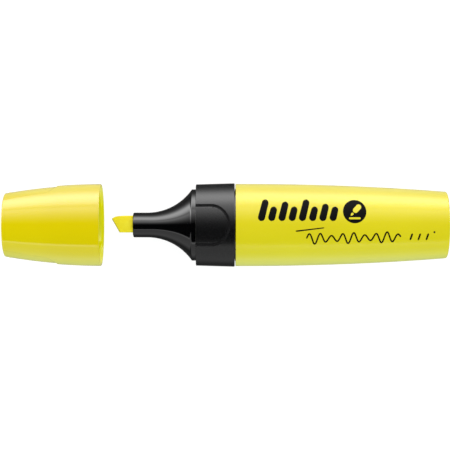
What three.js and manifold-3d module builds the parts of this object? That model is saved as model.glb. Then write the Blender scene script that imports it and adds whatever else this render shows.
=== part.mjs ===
// A chisel-tip highlighter with an oval body, shown with its cap pulled off and held in line with the nib.
//
// Frame: millimetres, +Z up. The pen lies on one broad face, +X runs from the nib to the tail, Y is across
// the broad face and Z is through the body. The origin is under the middle of the whole object.
// Inside the pen group, x is counted from the seat: the front face of the grip collar, where the cap stops.
// Inside the cap group, x is counted from the cap's mouth, and the cap's closed end is at negative x.

import * as THREE from "three";
import { mergeVertices } from "three/addons/utils/BufferGeometryUtils.js";
import Module from "manifold-3d";

const wasm = await Module();
wasm.setup();

// ---- Driving dimensions ----

const BODY_WIDTH = 27.3; // Y, over the back edge of the grip collar, the widest place
const BODY_DEPTH = 18; // Z, at the same place
const OVAL = BODY_DEPTH / BODY_WIDTH; // every oval section has this depth for its width
const SIDES = 40; // flats round a section

const BARREL_FRONT = 12.95;
const BARREL_END = 82;
const BARREL_HALF_WIDTH = 13.45;
const BARREL_BOW_START = 16; // the sides are parallel in front of this
const BARREL_BOW_RADIUS = 850; // and bend in on this radius behind it
const BARREL_WALL = 1.4;

const CAP_LENGTH = 31.6;
const CAP_HALF_WIDTH = 13.4; // at the mouth
const CAP_BOW_RADIUS = 180;
const CAP_WALL = 1.4;
const CAP_RECESS_DEPTH = 0.3; // grip recess in each narrow side of the cap
const CAP_PULLED_OFF = 31; // how far the cap stands in front of the seat

const COLLAR_LENGTH = 12.65;
const COLLAR_FRONT_HALF_WIDTH = 13.3;
const COLLAR_BORE = 11.4; // half-width of its oval bore
const RECESS_DEPTH = 0.35; // thumb recess in each broad face of the collar

const TUBE_RADIUS = 4.05; // round tube that holds the nib
const TUBE_FRONT = -20.5;
const FLARE_START = -16; // the tube opens out from here
const FLARE_RADIUS = 17.9;
const FLARE_ANGLE = 53.3; // degrees turned by the end of the flare
const FLANGE_HALF_WIDTH = 11.67; // the cap's mouth slips over this
const SPIGOT_HALF_WIDTH = 11.75; // plugs into the barrel
const SPIGOT_END = 19.5;
const HOLDER_END = 11; // back of the nib holder, which the reservoir touches

const NIB_WIDTH = 5.5; // Y
const NIB_THICKNESS = 4; // Z
const NIB_SIDE = 0.3; // the nib and its bore stand this far to +Y of the axis
const NIB_TIP = -27.7;
const NIB_TAIL = 18.6;
const NIB_CORNER = 0.8; // radius of its long edges
const NIB_TAIL_WIDTH = 3.4;
const NIB_TAIL_THICKNESS = 2.8;

const RESERVOIR_RADIUS = 5.5;
const RESERVOIR_FRONT = 11.4;
const RESERVOIR_END = 77;
const FILM_THICKNESS = 0.25;

const GAP = 0.2; // clearance of a sliding or snapped fit

// ---- Solids and meshes ----

// A three.js geometry as a solid that can be cut and joined.
function toSolid(geometry) {
  const bare = geometry.clone();
  bare.deleteAttribute("normal");
  bare.deleteAttribute("uv");
  const merged = mergeVertices(bare, 1e-4);
  return new wasm.Manifold(
    new wasm.Mesh({
      numProp: 3,
      vertProperties: merged.attributes.position.array,
      triVerts: new Uint32Array(merged.index.array),
    }),
  );
}

// A solid as a three.js mesh with its own name and material.
function toMesh(name, solid, material) {
  const { vertProperties, triVerts } = solid.getMesh();
  const geometry = new THREE.BufferGeometry();
  geometry.setAttribute("position", new THREE.BufferAttribute(vertProperties, 3));
  geometry.setIndex(new THREE.BufferAttribute(triVerts, 1));
  geometry.computeVertexNormals();
  const mesh = new THREE.Mesh(geometry, material);
  mesh.name = name;
  return mesh;
}

const round = () => 1;
const oval = () => OVAL;

// A profile of [x, half-width] pairs turned about X, then flattened in Z by ratio(x).
// The profile runs forwards along the outside, and starts and ends on the axis or closes on itself.
// Each flat touches the true oval in its middle, and one flat faces straight down for the pen to rest on.
function turned(profile, ratio = oval) {
  const halfTurn = Math.PI / SIDES; // half the turn from one flat to the next
  const points = profile.map(([x, halfWidth]) => new THREE.Vector2(halfWidth / Math.cos(halfTurn), x));
  const geometry = new THREE.LatheGeometry(points, SIDES, halfTurn).rotateZ(-Math.PI / 2);
  const position = geometry.attributes.position;
  for (let i = 0; i < position.count; i++) {
    position.setZ(i, position.getZ(i) * ratio(position.getX(i)));
  }
  return toSolid(geometry);
}

function ring(outside, inside, ratio = oval) {
  const loop = [...outside, ...inside.toReversed()];
  return turned([...loop, loop[0]], ratio);
}

function box(x0, x1, y0, y1, z0, z1) {
  const geometry = new THREE.BoxGeometry(x1 - x0, y1 - y0, z1 - z0);
  return toSolid(geometry.translate((x0 + x1) / 2, (y0 + y1) / 2, (z0 + z1) / 2));
}

// Two crossing ribs from x0 to x1, one in each plane of the axes, reaching halfWidth along Y and halfDepth
// along Z.
function crossRibs(x0, x1, halfWidth, halfDepth, thickness) {
  const t = thickness / 2;
  return box(x0, x1, -halfWidth, halfWidth, -t, t).add(box(x0, x1, -t, t, -halfDepth, halfDepth));
}

// A bar with a rounded rectangular section, along X.
function roundedBar(x0, x1, width, thickness, cornerRadius) {
  const [w, t, r] = [width / 2, thickness / 2, cornerRadius];
  const shape = new THREE.Shape();
  shape.moveTo(t, w - r);
  shape.absarc(t - r, w - r, r, 0, Math.PI / 2);
  shape.absarc(r - t, w - r, r, Math.PI / 2, Math.PI);
  shape.absarc(r - t, r - w, r, Math.PI, 1.5 * Math.PI);
  shape.absarc(t - r, r - w, r, 1.5 * Math.PI, 2 * Math.PI);
  const options = { depth: x1 - x0, bevelEnabled: false, curveSegments: 4 };
  const geometry = new THREE.ExtrudeGeometry(shape, options);
  return toSolid(geometry.rotateY(Math.PI / 2).translate(x0, 0, 0));
}

// A hole that clears a stretch of the nib by the same small gap all round.
function nibBore(x0, x1, width, thickness) {
  const clearance = 0.15;
  const bar = roundedBar(x0, x1, width + 2 * clearance, thickness + 2 * clearance, NIB_CORNER + clearance);
  return bar.translate([0, NIB_SIDE, 0]);
}

// A tongue seen from above: open at x = from, with a rounded end at x = to, as tall as the whole body.
function tongue(from, to, halfWidth, endLength) {
  const way = Math.sign(to - from);
  const shape = new THREE.Shape();
  shape.moveTo(from, -way * halfWidth);
  shape.lineTo(to - way * endLength, -way * halfWidth);
  const turn = way > 0 ? 0 : Math.PI;
  const start = -Math.PI / 2 + turn;
  shape.absellipse(to - way * endLength, 0, endLength, halfWidth, start, start + Math.PI);
  shape.lineTo(from, way * halfWidth);
  const options = { depth: BODY_WIDTH * 2, bevelEnabled: false, curveSegments: 14 };
  const geometry = new THREE.ExtrudeGeometry(shape, options);
  return toSolid(geometry.translate(0, 0, -BODY_WIDTH));
}

// Evenly spaced numbers from a to b, both included.
function steps(a, b, count) {
  return Array.from({ length: count + 1 }, (_, i) => a + ((b - a) * i) / count);
}

// A quarter-round corner of the given radius between the points before and after it.
function corner(x, halfWidth, radius, fromDegrees, toDegrees) {
  return steps(fromDegrees, toDegrees, 3).map((degrees) => {
    const a = THREE.MathUtils.degToRad(degrees);
    return [x + radius * Math.cos(a), halfWidth + radius * Math.sin(a)];
  });
}

function plastic(color, roughness) {
  return new THREE.MeshStandardMaterial({ color, roughness, metalness: 0 });
}

const barrelYellow = plastic("#e2d414", 0.35);
const capYellow = plastic("#e3d20c", 0.22);
const noseBlack = plastic("#0a0a0b", 0.12);
const collarBlack = plastic("#1c1c1d", 0.42);
const nibFelt = plastic("#f2df2c", 0.85);
const reservoirFibre = plastic("#e9dc52", 0.95);
const reservoirFilm = plastic("#f4f1dc", 0.15);
const sealWhite = plastic("#e9e9e2", 0.45);

// ---- Barrel: one moulding, open in front and closed at the tail ----

function barrelHalfWidth(x) {
  return BARREL_HALF_WIDTH - Math.max(0, x - BARREL_BOW_START) ** 2 / (2 * BARREL_BOW_RADIUS);
}

function makeBarrel() {
  const tailRadius = 0.5;
  const frontChamfer = 0.35;
  const tailWall = 1.7;
  const tail = BARREL_END - tailRadius;
  const stations = steps(BARREL_BOW_START, tail, 10);
  const outside = [
    [BARREL_FRONT, BARREL_HALF_WIDTH - frontChamfer],
    [BARREL_FRONT + frontChamfer, BARREL_HALF_WIDTH],
    ...stations.map((x) => [x, barrelHalfWidth(x)]),
    ...corner(tail, barrelHalfWidth(tail) - tailRadius, tailRadius, 60, 0),
  ];
  const floor = BARREL_END - tailWall;
  const shell = turned([[BARREL_FRONT, 0], ...outside, [BARREL_END, 0]]);
  const hollow = turned([
    [BARREL_FRONT - 1, 0],
    [BARREL_FRONT - 1, BARREL_HALF_WIDTH - BARREL_WALL],
    ...steps(BARREL_BOW_START, floor, 8).map((x) => [x, barrelHalfWidth(x) - BARREL_WALL]),
    [floor, 0],
  ]);
  // Four long ribs hold the reservoir in the middle, and their stepped tails stop it.
  const ribThickness = 1;
  const ribs = crossRibs(SPIGOT_END + 1.5, floor + 0.5, BODY_WIDTH / 2, BODY_DEPTH / 2, ribThickness);
  const reservoirRoom = turned(
    [
      [SPIGOT_END, 0],
      [SPIGOT_END, RESERVOIR_RADIUS + FILM_THICKNESS + GAP],
      [RESERVOIR_END + GAP, RESERVOIR_RADIUS + FILM_THICKNESS + GAP],
      [RESERVOIR_END + GAP, 0],
    ],
    round,
  );
  return shell.subtract(hollow.subtract(ribs.subtract(reservoirRoom)));
}

// ---- Nose section: nib tube, flare, flange, collar groove and barrel spigot in one moulding ----

const flareTurn = THREE.MathUtils.degToRad(FLARE_ANGLE);
const flareLength = FLARE_RADIUS * Math.sin(flareTurn);
const flareEndHalfWidth = TUBE_RADIUS + FLARE_RADIUS * (1 - Math.cos(flareTurn));
const flareSwell = 1.5; // how late the flare's depth grows: 1 would be a straight cone

// Round at the tube, and as oval as the body from the flange back. The depth grows more evenly than the
// width.
function noseRatio(x) {
  const along = THREE.MathUtils.clamp(x - FLARE_START, 0, flareLength);
  const halfWidth = TUBE_RADIUS + FLARE_RADIUS - Math.sqrt(FLARE_RADIUS ** 2 - along ** 2);
  const growth = (along / flareLength) ** flareSwell;
  const halfDepth = TUBE_RADIUS + (OVAL * flareEndHalfWidth - TUBE_RADIUS) * growth;
  return halfDepth / halfWidth;
}

// The flare's outline, moved inwards by wall, over the given part of its turn.
function flare(wall, fromTurn, toTurn, count) {
  return steps(fromTurn, toTurn, count).map((a) => [
    FLARE_START + (FLARE_RADIUS + wall) * Math.sin(a),
    TUBE_RADIUS + FLARE_RADIUS - (FLARE_RADIUS + wall) * Math.cos(a),
  ]);
}

function makeNoseSection() {
  const tubeCorner = 0.4;
  const flangeCorner = 0.4;
  const flangeBack = -0.1;
  const shoulder = COLLAR_LENGTH + 0.1;
  const outer = turned(
    [
      [TUBE_FRONT, 0],
      ...corner(TUBE_FRONT + tubeCorner, TUBE_RADIUS - tubeCorner, tubeCorner, 180, 90),
      ...flare(0, 0, flareTurn, 10),
      [FLARE_START + flareLength + flangeCorner, FLANGE_HALF_WIDTH],
      [flangeBack, FLANGE_HALF_WIDTH],
      [flangeBack, COLLAR_BORE - GAP],
      [shoulder, COLLAR_BORE - GAP],
      [shoulder, SPIGOT_HALF_WIDTH],
      [SPIGOT_END - 0.6, SPIGOT_HALF_WIDTH],
      [SPIGOT_END, SPIGOT_HALF_WIDTH - 0.6],
      [SPIGOT_END, 0],
    ],
    noseRatio,
  );
  const wall = 1.5;
  const holderHalfWidth = 4.4;
  const hollowFront = -7.7;
  const hollow = turned(
    [
      [HOLDER_END, 0],
      [HOLDER_END, holderHalfWidth],
      [hollowFront, holderHalfWidth],
      ...flare(wall, 0.45, 0.78, 3), // inside the flare, behind the holder's foot
      [0.5, COLLAR_BORE - wall],
      [SPIGOT_END + 1, COLLAR_BORE - 1],
      [SPIGOT_END + 1, 0],
    ],
    noseRatio,
  );
  const ribThickness = 1;
  const ribs = crossRibs(-9, HOLDER_END - 5, BODY_WIDTH / 2, BODY_DEPTH / 2, ribThickness);
  const bore = nibBore(TUBE_FRONT - 1, SPIGOT_END, NIB_WIDTH, NIB_THICKNESS);
  return outer.subtract(hollow.subtract(ribs)).subtract(bore);
}

// ---- Grip collar: a ring snapped over the flange, with a thumb recess in each broad face ----

function makeGripCollar() {
  const edge = 0.35;
  const backHalfWidth = BODY_WIDTH / 2;
  const outside = [
    [0, COLLAR_FRONT_HALF_WIDTH - edge],
    [edge, COLLAR_FRONT_HALF_WIDTH],
    [COLLAR_LENGTH - 1.2 * edge, backHalfWidth],
    [COLLAR_LENGTH, backHalfWidth - edge],
  ];
  const inside = outside.map(([x]) => [x, COLLAR_BORE]);
  const recessFloor = turned([
    [-2, 0],
    [-2, COLLAR_FRONT_HALF_WIDTH - RECESS_DEPTH],
    [COLLAR_LENGTH + 1, COLLAR_FRONT_HALF_WIDTH - RECESS_DEPTH],
    [COLLAR_LENGTH + 1, 0],
  ]);
  const recessEnd = 11.1;
  const recessHalfWidth = 6.7;
  const recessRoundEnd = 6.1;
  const recess = tongue(-1, recessEnd, recessHalfWidth, recessRoundEnd).subtract(recessFloor);
  return ring(outside, inside).subtract(recess);
}

// ---- Nib: a bonded-fibre bar with a slanted chisel tip in front and a slim tail in the reservoir ----

function makeNib() {
  const tipY = 2.1; // the leading point stands on the +Y side
  const heelX = -25; // the writing edge runs back to here on the -Y side
  const edgeSlope = (heelX - NIB_TIP) / (tipY + NIB_WIDTH / 2);
  const browX = -24.8; // the +Y edge is full from here back, and droops a little to the leading point
  const droop = new THREE.Vector2(-26.4, 2.6);
  const shoulderX = HOLDER_END - 3;
  const body = roundedBar(NIB_TIP - 1, shoulderX, NIB_WIDTH, NIB_THICKNESS, NIB_CORNER);
  const tail = roundedBar(shoulderX - 0.01, NIB_TAIL, NIB_TAIL_WIDTH, NIB_TAIL_THICKNESS, NIB_CORNER);
  const outline = new THREE.Shape();
  outline.moveTo(NIB_TIP, tipY);
  outline.lineTo(heelX + edgeSlope, -NIB_WIDTH / 2 - 1);
  outline.lineTo(NIB_TAIL + 1, -NIB_WIDTH / 2 - 1);
  outline.lineTo(NIB_TAIL + 1, NIB_WIDTH / 2 + 1);
  outline.lineTo(browX, NIB_WIDTH / 2 + 1);
  outline.lineTo(browX, NIB_WIDTH / 2);
  outline.lineTo(droop.x, droop.y);
  outline.closePath();
  const plate = new THREE.ExtrudeGeometry(outline, { depth: NIB_THICKNESS * 2, bevelEnabled: false });
  const slanted = toSolid(plate.translate(0, 0, -NIB_THICKNESS));
  // Both broad faces thin down towards the writing edge.
  const edgeHalfThickness = 0.75;
  const bevelLength = 4.2;
  const slope = (NIB_THICKNESS / 2 - edgeHalfThickness) / bevelLength;
  const wedge = new THREE.Shape();
  const reach = 60;
  wedge.moveTo(0, -edgeHalfThickness);
  wedge.lineTo(reach, -edgeHalfThickness - slope * reach);
  wedge.lineTo(reach, edgeHalfThickness + slope * reach);
  wedge.lineTo(0, edgeHalfThickness);
  wedge.closePath();
  const slant = Math.atan(edgeSlope);
  const wedgeBar = new THREE.ExtrudeGeometry(wedge, { depth: 4 * reach, bevelEnabled: false })
    .translate(0, 0, -2 * reach)
    .rotateX(Math.PI / 2)
    .rotateZ(slant)
    .translate(NIB_TIP, tipY, 0);
  const nib = body.add(tail).intersect(slanted).intersect(toSolid(wedgeBar));
  return nib.translate([0, NIB_SIDE, 0]);
}

// ---- Ink reservoir: a fibre rod with a socket for the nib's tail, in a film sleeve ----

function makeReservoirCore() {
  const rod = turned(
    [
      [RESERVOIR_FRONT, 0],
      [RESERVOIR_FRONT, RESERVOIR_RADIUS],
      [RESERVOIR_END, RESERVOIR_RADIUS],
      [RESERVOIR_END, 0],
    ],
    round,
  );
  const socket = nibBore(RESERVOIR_FRONT - 1, NIB_TAIL + 0.3, NIB_TAIL_WIDTH, NIB_TAIL_THICKNESS);
  return rod.subtract(socket);
}

function makeReservoirFilm() {
  const inner = RESERVOIR_RADIUS + 0.05;
  const ends = [RESERVOIR_FRONT + 0.2, RESERVOIR_END - 0.2];
  return ring(
    ends.map((x) => [x, inner + FILM_THICKNESS]),
    ends.map((x) => [x, inner]),
    round,
  );
}

// ---- Cap shell, with its mouth at x = 0 and its closed end at x = -CAP_LENGTH ----

function capHalfWidth(x) {
  return CAP_HALF_WIDTH - x ** 2 / (2 * CAP_BOW_RADIUS);
}

const CAP_FLOOR = 1.5 - CAP_LENGTH; // inner face of the closed end
const SOCKET_RADIUS = 5.7; // ring on the closed end that holds the inner seal

function makeCapShell() {
  const endRadius = 0.6;
  const lip = 0.3;
  const end = endRadius - CAP_LENGTH;
  const outer = turned([
    [-CAP_LENGTH, 0],
    ...corner(end, capHalfWidth(end) - endRadius, endRadius, 180, 100),
    ...steps(end, -lip, 10).map((x) => [x, capHalfWidth(x)]),
    [0, CAP_HALF_WIDTH - lip],
    [0, 0],
  ]);
  const mouthHalfWidth = FLANGE_HALF_WIDTH + GAP;
  const leadIn = 0.9; // the bore opens out at the lip, so the cap finds the flange
  const hollow = turned([
    [CAP_FLOOR, 0],
    ...steps(CAP_FLOOR, -3, 8).map((x) => [x, capHalfWidth(x) - CAP_WALL]),
    [-2.2, mouthHalfWidth],
    [-leadIn, mouthHalfWidth],
    [leadIn, mouthHalfWidth + leadIn],
    [leadIn, 0],
  ]);
  const socketMouth = -25.8;
  const socketWall = 1.1;
  const socket = ring(
    [
      [CAP_FLOOR - 0.5, SOCKET_RADIUS + socketWall],
      [socketMouth, SOCKET_RADIUS + socketWall],
    ],
    [
      [CAP_FLOOR - 0.5, SOCKET_RADIUS],
      [socketMouth, SOCKET_RADIUS],
    ],
    round,
  );
  const innerRoom = turned(
    [
      [CAP_FLOOR - 1, 0],
      [CAP_FLOOR - 1, SOCKET_RADIUS],
      [1, SOCKET_RADIUS],
      [1, 0],
    ],
    round,
  );
  const ribFront = -18;
  const ribThickness = 1;
  const ribs = crossRibs(CAP_FLOOR - 0.5, ribFront, BODY_WIDTH / 2, BODY_DEPTH / 2, ribThickness)
    .subtract(innerRoom);
  // A shallow grip recess in each narrow side, open at the closed end.
  const recessFloor = turned([
    [-CAP_LENGTH - 2, 0],
    ...steps(-CAP_LENGTH - 2, 0, 10).map((x) => [x, capHalfWidth(x) - CAP_RECESS_DEPTH]),
    [0, 0],
  ]);
  const recessEnd = -14.2;
  const recessHalfWidth = 4.6;
  const recessRoundEnd = 4.2;
  const recess = tongue(-CAP_LENGTH - 1, recessEnd, recessHalfWidth, recessRoundEnd)
    .rotate([90, 0, 0])
    .subtract(recessFloor);
  return outer.subtract(hollow.subtract(ribs).subtract(socket)).subtract(recess);
}

// ---- Inner seal: a cup that closes on the nib tube and keeps the nib from drying ----

function makeInnerSeal() {
  const outerRadius = SOCKET_RADIUS - GAP;
  const bottom = CAP_FLOOR + 0.1;
  const mouth = -14.6;
  const sealRadius = TUBE_RADIUS + GAP;
  const nibRoomRadius = 3.85;
  return turned(
    [
      [bottom, 0],
      [bottom, outerRadius],
      [mouth, outerRadius],
      [mouth, sealRadius + 0.8],
      [mouth - 1.4, sealRadius],
      [-21.6, sealRadius],
      [-21.6, nibRoomRadius],
      [bottom + 1, nibRoomRadius],
      [bottom + 1, 0],
    ],
    round,
  );
}

// ---- Assembly ----

const cap = new THREE.Group();
cap.add(toMesh("cap_shell", makeCapShell(), capYellow));
cap.add(toMesh("cap_inner_seal", makeInnerSeal(), sealWhite));
cap.position.x = -CAP_PULLED_OFF;

const highlighter = new THREE.Group();
highlighter.add(toMesh("barrel", makeBarrel(), barrelYellow));
highlighter.add(toMesh("nose_section", makeNoseSection(), noseBlack));
highlighter.add(toMesh("grip_collar", makeGripCollar(), collarBlack));
highlighter.add(toMesh("nib", makeNib(), nibFelt));
highlighter.add(toMesh("reservoir_core", makeReservoirCore(), reservoirFibre));
highlighter.add(toMesh("reservoir_film", makeReservoirFilm(), reservoirFilm));
highlighter.add(cap);

const frontEnd = -CAP_PULLED_OFF - CAP_LENGTH;
highlighter.position.set(-(frontEnd + BARREL_END) / 2, 0, BODY_DEPTH / 2);

export default highlighter;
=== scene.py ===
"""A chisel-tip highlighter lying on its broad face, with its cap pulled off and held in line with the nib.

Metres, +Z up, +X from the nib to the tail, +Y across the broad face. The sections follow the pen as it is
put together: ink reservoir, nib, nose section, grip collar, barrel, print, inner seal, cap, and the studio.
"""

import math

import bmesh
import bpy
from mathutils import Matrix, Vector


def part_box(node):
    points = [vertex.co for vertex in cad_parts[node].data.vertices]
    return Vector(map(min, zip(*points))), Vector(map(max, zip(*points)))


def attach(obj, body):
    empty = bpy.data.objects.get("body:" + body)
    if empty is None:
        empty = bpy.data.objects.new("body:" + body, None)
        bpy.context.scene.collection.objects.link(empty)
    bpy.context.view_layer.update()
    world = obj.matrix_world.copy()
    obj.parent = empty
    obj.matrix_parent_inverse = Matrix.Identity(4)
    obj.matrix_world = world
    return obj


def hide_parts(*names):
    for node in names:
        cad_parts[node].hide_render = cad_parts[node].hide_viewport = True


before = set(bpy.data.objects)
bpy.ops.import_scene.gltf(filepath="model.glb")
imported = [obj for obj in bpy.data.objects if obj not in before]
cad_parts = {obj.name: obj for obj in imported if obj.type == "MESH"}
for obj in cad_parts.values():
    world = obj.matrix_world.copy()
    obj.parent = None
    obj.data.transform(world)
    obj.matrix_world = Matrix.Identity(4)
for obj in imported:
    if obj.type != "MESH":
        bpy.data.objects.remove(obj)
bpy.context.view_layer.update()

# ---- Ink reservoir: a rod of bonded polyester fibre, soaked in ink and wrapped in clear film -------------
# It is pushed into the barrel before the nose section closes it. Nothing of it shows from outside, but it is
# there when the pen is opened, so it gets its own finish.

MM = 0.001


def hex_color(code):
    """A colour from its sRGB hex code, as linear red, green, blue and alpha."""
    parts = [int(code[i : i + 2], 16) / 255 for i in (0, 2, 4)]
    linear = [c / 12.92 if c <= 0.04045 else ((c + 0.055) / 1.055) ** 2.4 for c in parts]
    return (*linear, 1)


def new_material(name):
    """An empty node material, with its tree and its finished shader."""
    material = bpy.data.materials.new(name)
    material.use_nodes = True
    tree = material.node_tree
    return material, tree, tree.nodes["Principled BSDF"]


def node(tree, kind, settings=None, **inputs):
    """Adds a node. Settings are its properties, and inputs are values or other nodes' outputs.

    An input goes by its name, with _ for a space, or by its number, as in0, in1 and so on.
    """
    made = tree.nodes.new(kind)
    for key, value in (settings or {}).items():
        setattr(made, key, value)
    for key, value in inputs.items():
        numbered = key[:2] == "in" and key[2:].isdigit()
        socket = made.inputs[int(key[2:]) if numbered else key.replace("_", " ")]
        if isinstance(value, bpy.types.NodeSocket):
            tree.links.new(value, socket)
        else:
            socket.default_value = value
    return made


def soaked_fibre(name, dry, wet, fibre_width):
    """Bonded polyester fibre: matt, patchy with ink. The eye sees fine streaks along the pen."""
    material, tree, shader = new_material(name)
    place = node(tree, "ShaderNodeTexCoord").outputs["Object"]
    per_metre = 1 / fibre_width
    strands = node(
        tree,
        "ShaderNodeMapping",
        Vector=place,
        Scale=(per_metre / 12, per_metre, per_metre),
    ).outputs["Vector"]
    streak = node(tree, "ShaderNodeTexNoise", Vector=strands, Scale=1.0, Detail=4.0, Roughness=0.7)
    patch = node(tree, "ShaderNodeTexNoise", Vector=place, Scale=450.0, Detail=2.0)
    patches = node(tree, "ShaderNodeMath", {"operation": "MULTIPLY"}, in0=patch.outputs["Fac"], in1=0.4)
    share = node(
        tree,
        "ShaderNodeMath",
        {"operation": "MULTIPLY_ADD"},
        in0=streak.outputs["Fac"],
        in1=0.6,
        in2=patches.outputs["Value"],
    ).outputs["Value"]
    ramp = node(tree, "ShaderNodeValToRGB", Fac=share)
    ramp.color_ramp.elements[0].position = 0.35
    ramp.color_ramp.elements[0].color = hex_color(wet)
    ramp.color_ramp.elements[1].position = 0.62
    ramp.color_ramp.elements[1].color = hex_color(dry)
    tree.links.new(ramp.outputs["Color"], shader.inputs["Base Color"])
    relief = fibre_width * 0.6
    bump = node(tree, "ShaderNodeBump", Strength=0.5, Distance=relief, Height=streak.outputs["Fac"])
    tree.links.new(bump.outputs["Normal"], shader.inputs["Normal"])
    shader.inputs["Roughness"].default_value = 0.85
    shader.inputs["IOR"].default_value = 1.45
    shader.inputs["Sheen Weight"].default_value = 0.12
    shader.inputs["Sheen Roughness"].default_value = 0.5
    return material


def clear_film():
    """Polypropylene film, blown thin and wound on: slightly milky, glossy, with fine lengthwise creases."""
    material, tree, shader = new_material("polypropylene_film")
    place = node(tree, "ShaderNodeTexCoord").outputs["Object"]
    creases = node(tree, "ShaderNodeMapping", Vector=place, Scale=(60.0, 900.0, 900.0)).outputs["Vector"]
    wrinkle = node(tree, "ShaderNodeTexNoise", Vector=creases, Scale=1.0, Detail=3.0)
    ramp = node(tree, "ShaderNodeValToRGB", Fac=wrinkle.outputs["Fac"])
    ramp.color_ramp.elements[0].color = hex_color("e6dd5a")
    ramp.color_ramp.elements[1].color = hex_color("f4f1b4")
    tree.links.new(ramp.outputs["Color"], shader.inputs["Base Color"])
    bump = node(tree, "ShaderNodeBump", Strength=0.4, Distance=0.05 * MM, Height=wrinkle.outputs["Fac"])
    tree.links.new(bump.outputs["Normal"], shader.inputs["Normal"])
    shader.inputs["Roughness"].default_value = 0.2
    shader.inputs["IOR"].default_value = 1.49
    return material


def finish_cad_node(name, material):
    """Gives a CAD node that stays in view its finish."""
    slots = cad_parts[name].data.materials
    slots.clear()
    slots.append(material)


finish_cad_node("reservoir_core", soaked_fibre("soaked_filler_fibre", "efe45e", "dccb16", 0.12 * MM))
finish_cad_node("reservoir_film", clear_film())

# ---- Nib: a bar of bonded acrylic fibre, extruded, ground to a slanted chisel and pushed into the tube ---
# Its tail sits in the reservoir. The point is soaked in ink, so it is matt, saturated and a little fuzzy.


def seat(piece, body, slot, *nodes):
    """The piece rides on a body and stands for the CAD nodes named, which are hidden. The slot is not used.
    """
    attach(piece, body)
    if nodes:
        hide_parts(*nodes)


def to_piece(name, bm, *materials):
    """Turns a finished bmesh into an object at the origin, smooth over all but its sharp edges."""
    mesh = bpy.data.meshes.new(name)
    bm.to_mesh(mesh)
    bm.free()
    for material in materials:
        mesh.materials.append(material)
    for face in mesh.polygons:
        face.use_smooth = True
    mesh.set_sharp_from_angle(angle=math.radians(35))
    piece = bpy.data.objects.new(name, mesh)
    bpy.context.scene.collection.objects.link(piece)
    return piece


def bevel(bm, edges, width, segments):
    """Rounds the edges off by a width, in a number of flats."""
    bmesh.ops.bevel(
        bm,
        geom=list(edges),
        offset=width,
        offset_type="OFFSET",
        affect="EDGES",
        segments=segments,
        profile=0.5,
        material=-1,
        clamp_overlap=True,
    )


def cut(bm, point, normal):
    """Planes off everything on the side that the normal points to, and closes the cut."""
    geometry = bm.verts[:] + bm.edges[:] + bm.faces[:]
    result = bmesh.ops.bisect_plane(
        bm, geom=geometry, plane_co=point, plane_no=normal, clear_outer=True
    )
    loop = [e for e in result["geom_cut"] if isinstance(e, bmesh.types.BMEdge)]
    bmesh.ops.holes_fill(bm, edges=loop, sides=0)


def box_between(bm, low, high):
    """A closed box between two opposite corners."""
    made = bmesh.ops.create_cube(bm, size=1.0)["verts"]
    bmesh.ops.scale(bm, verts=made, vec=high - low)
    bmesh.ops.translate(bm, verts=made, vec=(low + high) / 2)


nib_low, nib_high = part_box("nib")
seat_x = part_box("grip_collar")[0].x  # every length along the pen is counted from the collar's front face
AXIS_Z = (nib_low.z + nib_high.z) / 2

NIB_POINT = Vector((nib_low.x + 0.2 * MM, nib_high.y - 1.1 * MM, AXIS_Z))
NIB_HEEL = Vector((seat_x - 25.0 * MM, nib_low.y, AXIS_Z))
# The brow is rounded by short flats: mm behind the tip, mm below the upper side, and slope.
NIB_BROW = ((0.45, 0.80, 0.60), (0.9, 0.50, 0.38), (1.6, 0.27, 0.21), (2.9, 0.10, 0.07))
NIB_EDGE_THICKNESS = 1.5 * MM
NIB_BEVEL_LENGTH = 4.2 * MM
NIB_CORNER = 0.55 * MM
NIB_SHOULDER = seat_x + 8 * MM
NIB_TAIL_HALF_WIDTH = 1.7 * MM
NIB_TAIL_HALF_DEPTH = 1.4 * MM
EDGE_SHADE_DEPTH = 0.4 * MM


def paint_writing_edge_shade(material, outwards):
    """Painted shade along the slant: a thin olive line mixed into the fibre's colour, where the chamfer of
    the cut face lies in shade.
    """
    tree = material.node_tree
    base = tree.nodes["Principled BSDF"].inputs["Base Color"]
    place = node(tree, "ShaderNodeTexCoord").outputs["Object"]
    reach = node(tree, "ShaderNodeVectorMath", {"operation": "DOT_PRODUCT"}, in0=place, in1=outwards)
    face = NIB_POINT.dot(outwards)
    # Painted shade: the fibre turns olive in a thin band behind the slanted face.
    edge_shade = node(
        tree,
        "ShaderNodeMapRange",
        Value=reach.outputs["Value"],
        From_Min=face - EDGE_SHADE_DEPTH,
        From_Max=face - EDGE_SHADE_DEPTH / 4,
        To_Max=0.7,
    ).outputs["Result"]
    fibre = base.links[0].from_socket
    olive = hex_color("7d6c08")
    mixed = node(tree, "ShaderNodeMix", {"data_type": "RGBA"}, in0=edge_shade, in6=fibre, in7=olive)
    tree.links.new(mixed.outputs[2], base)


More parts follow.
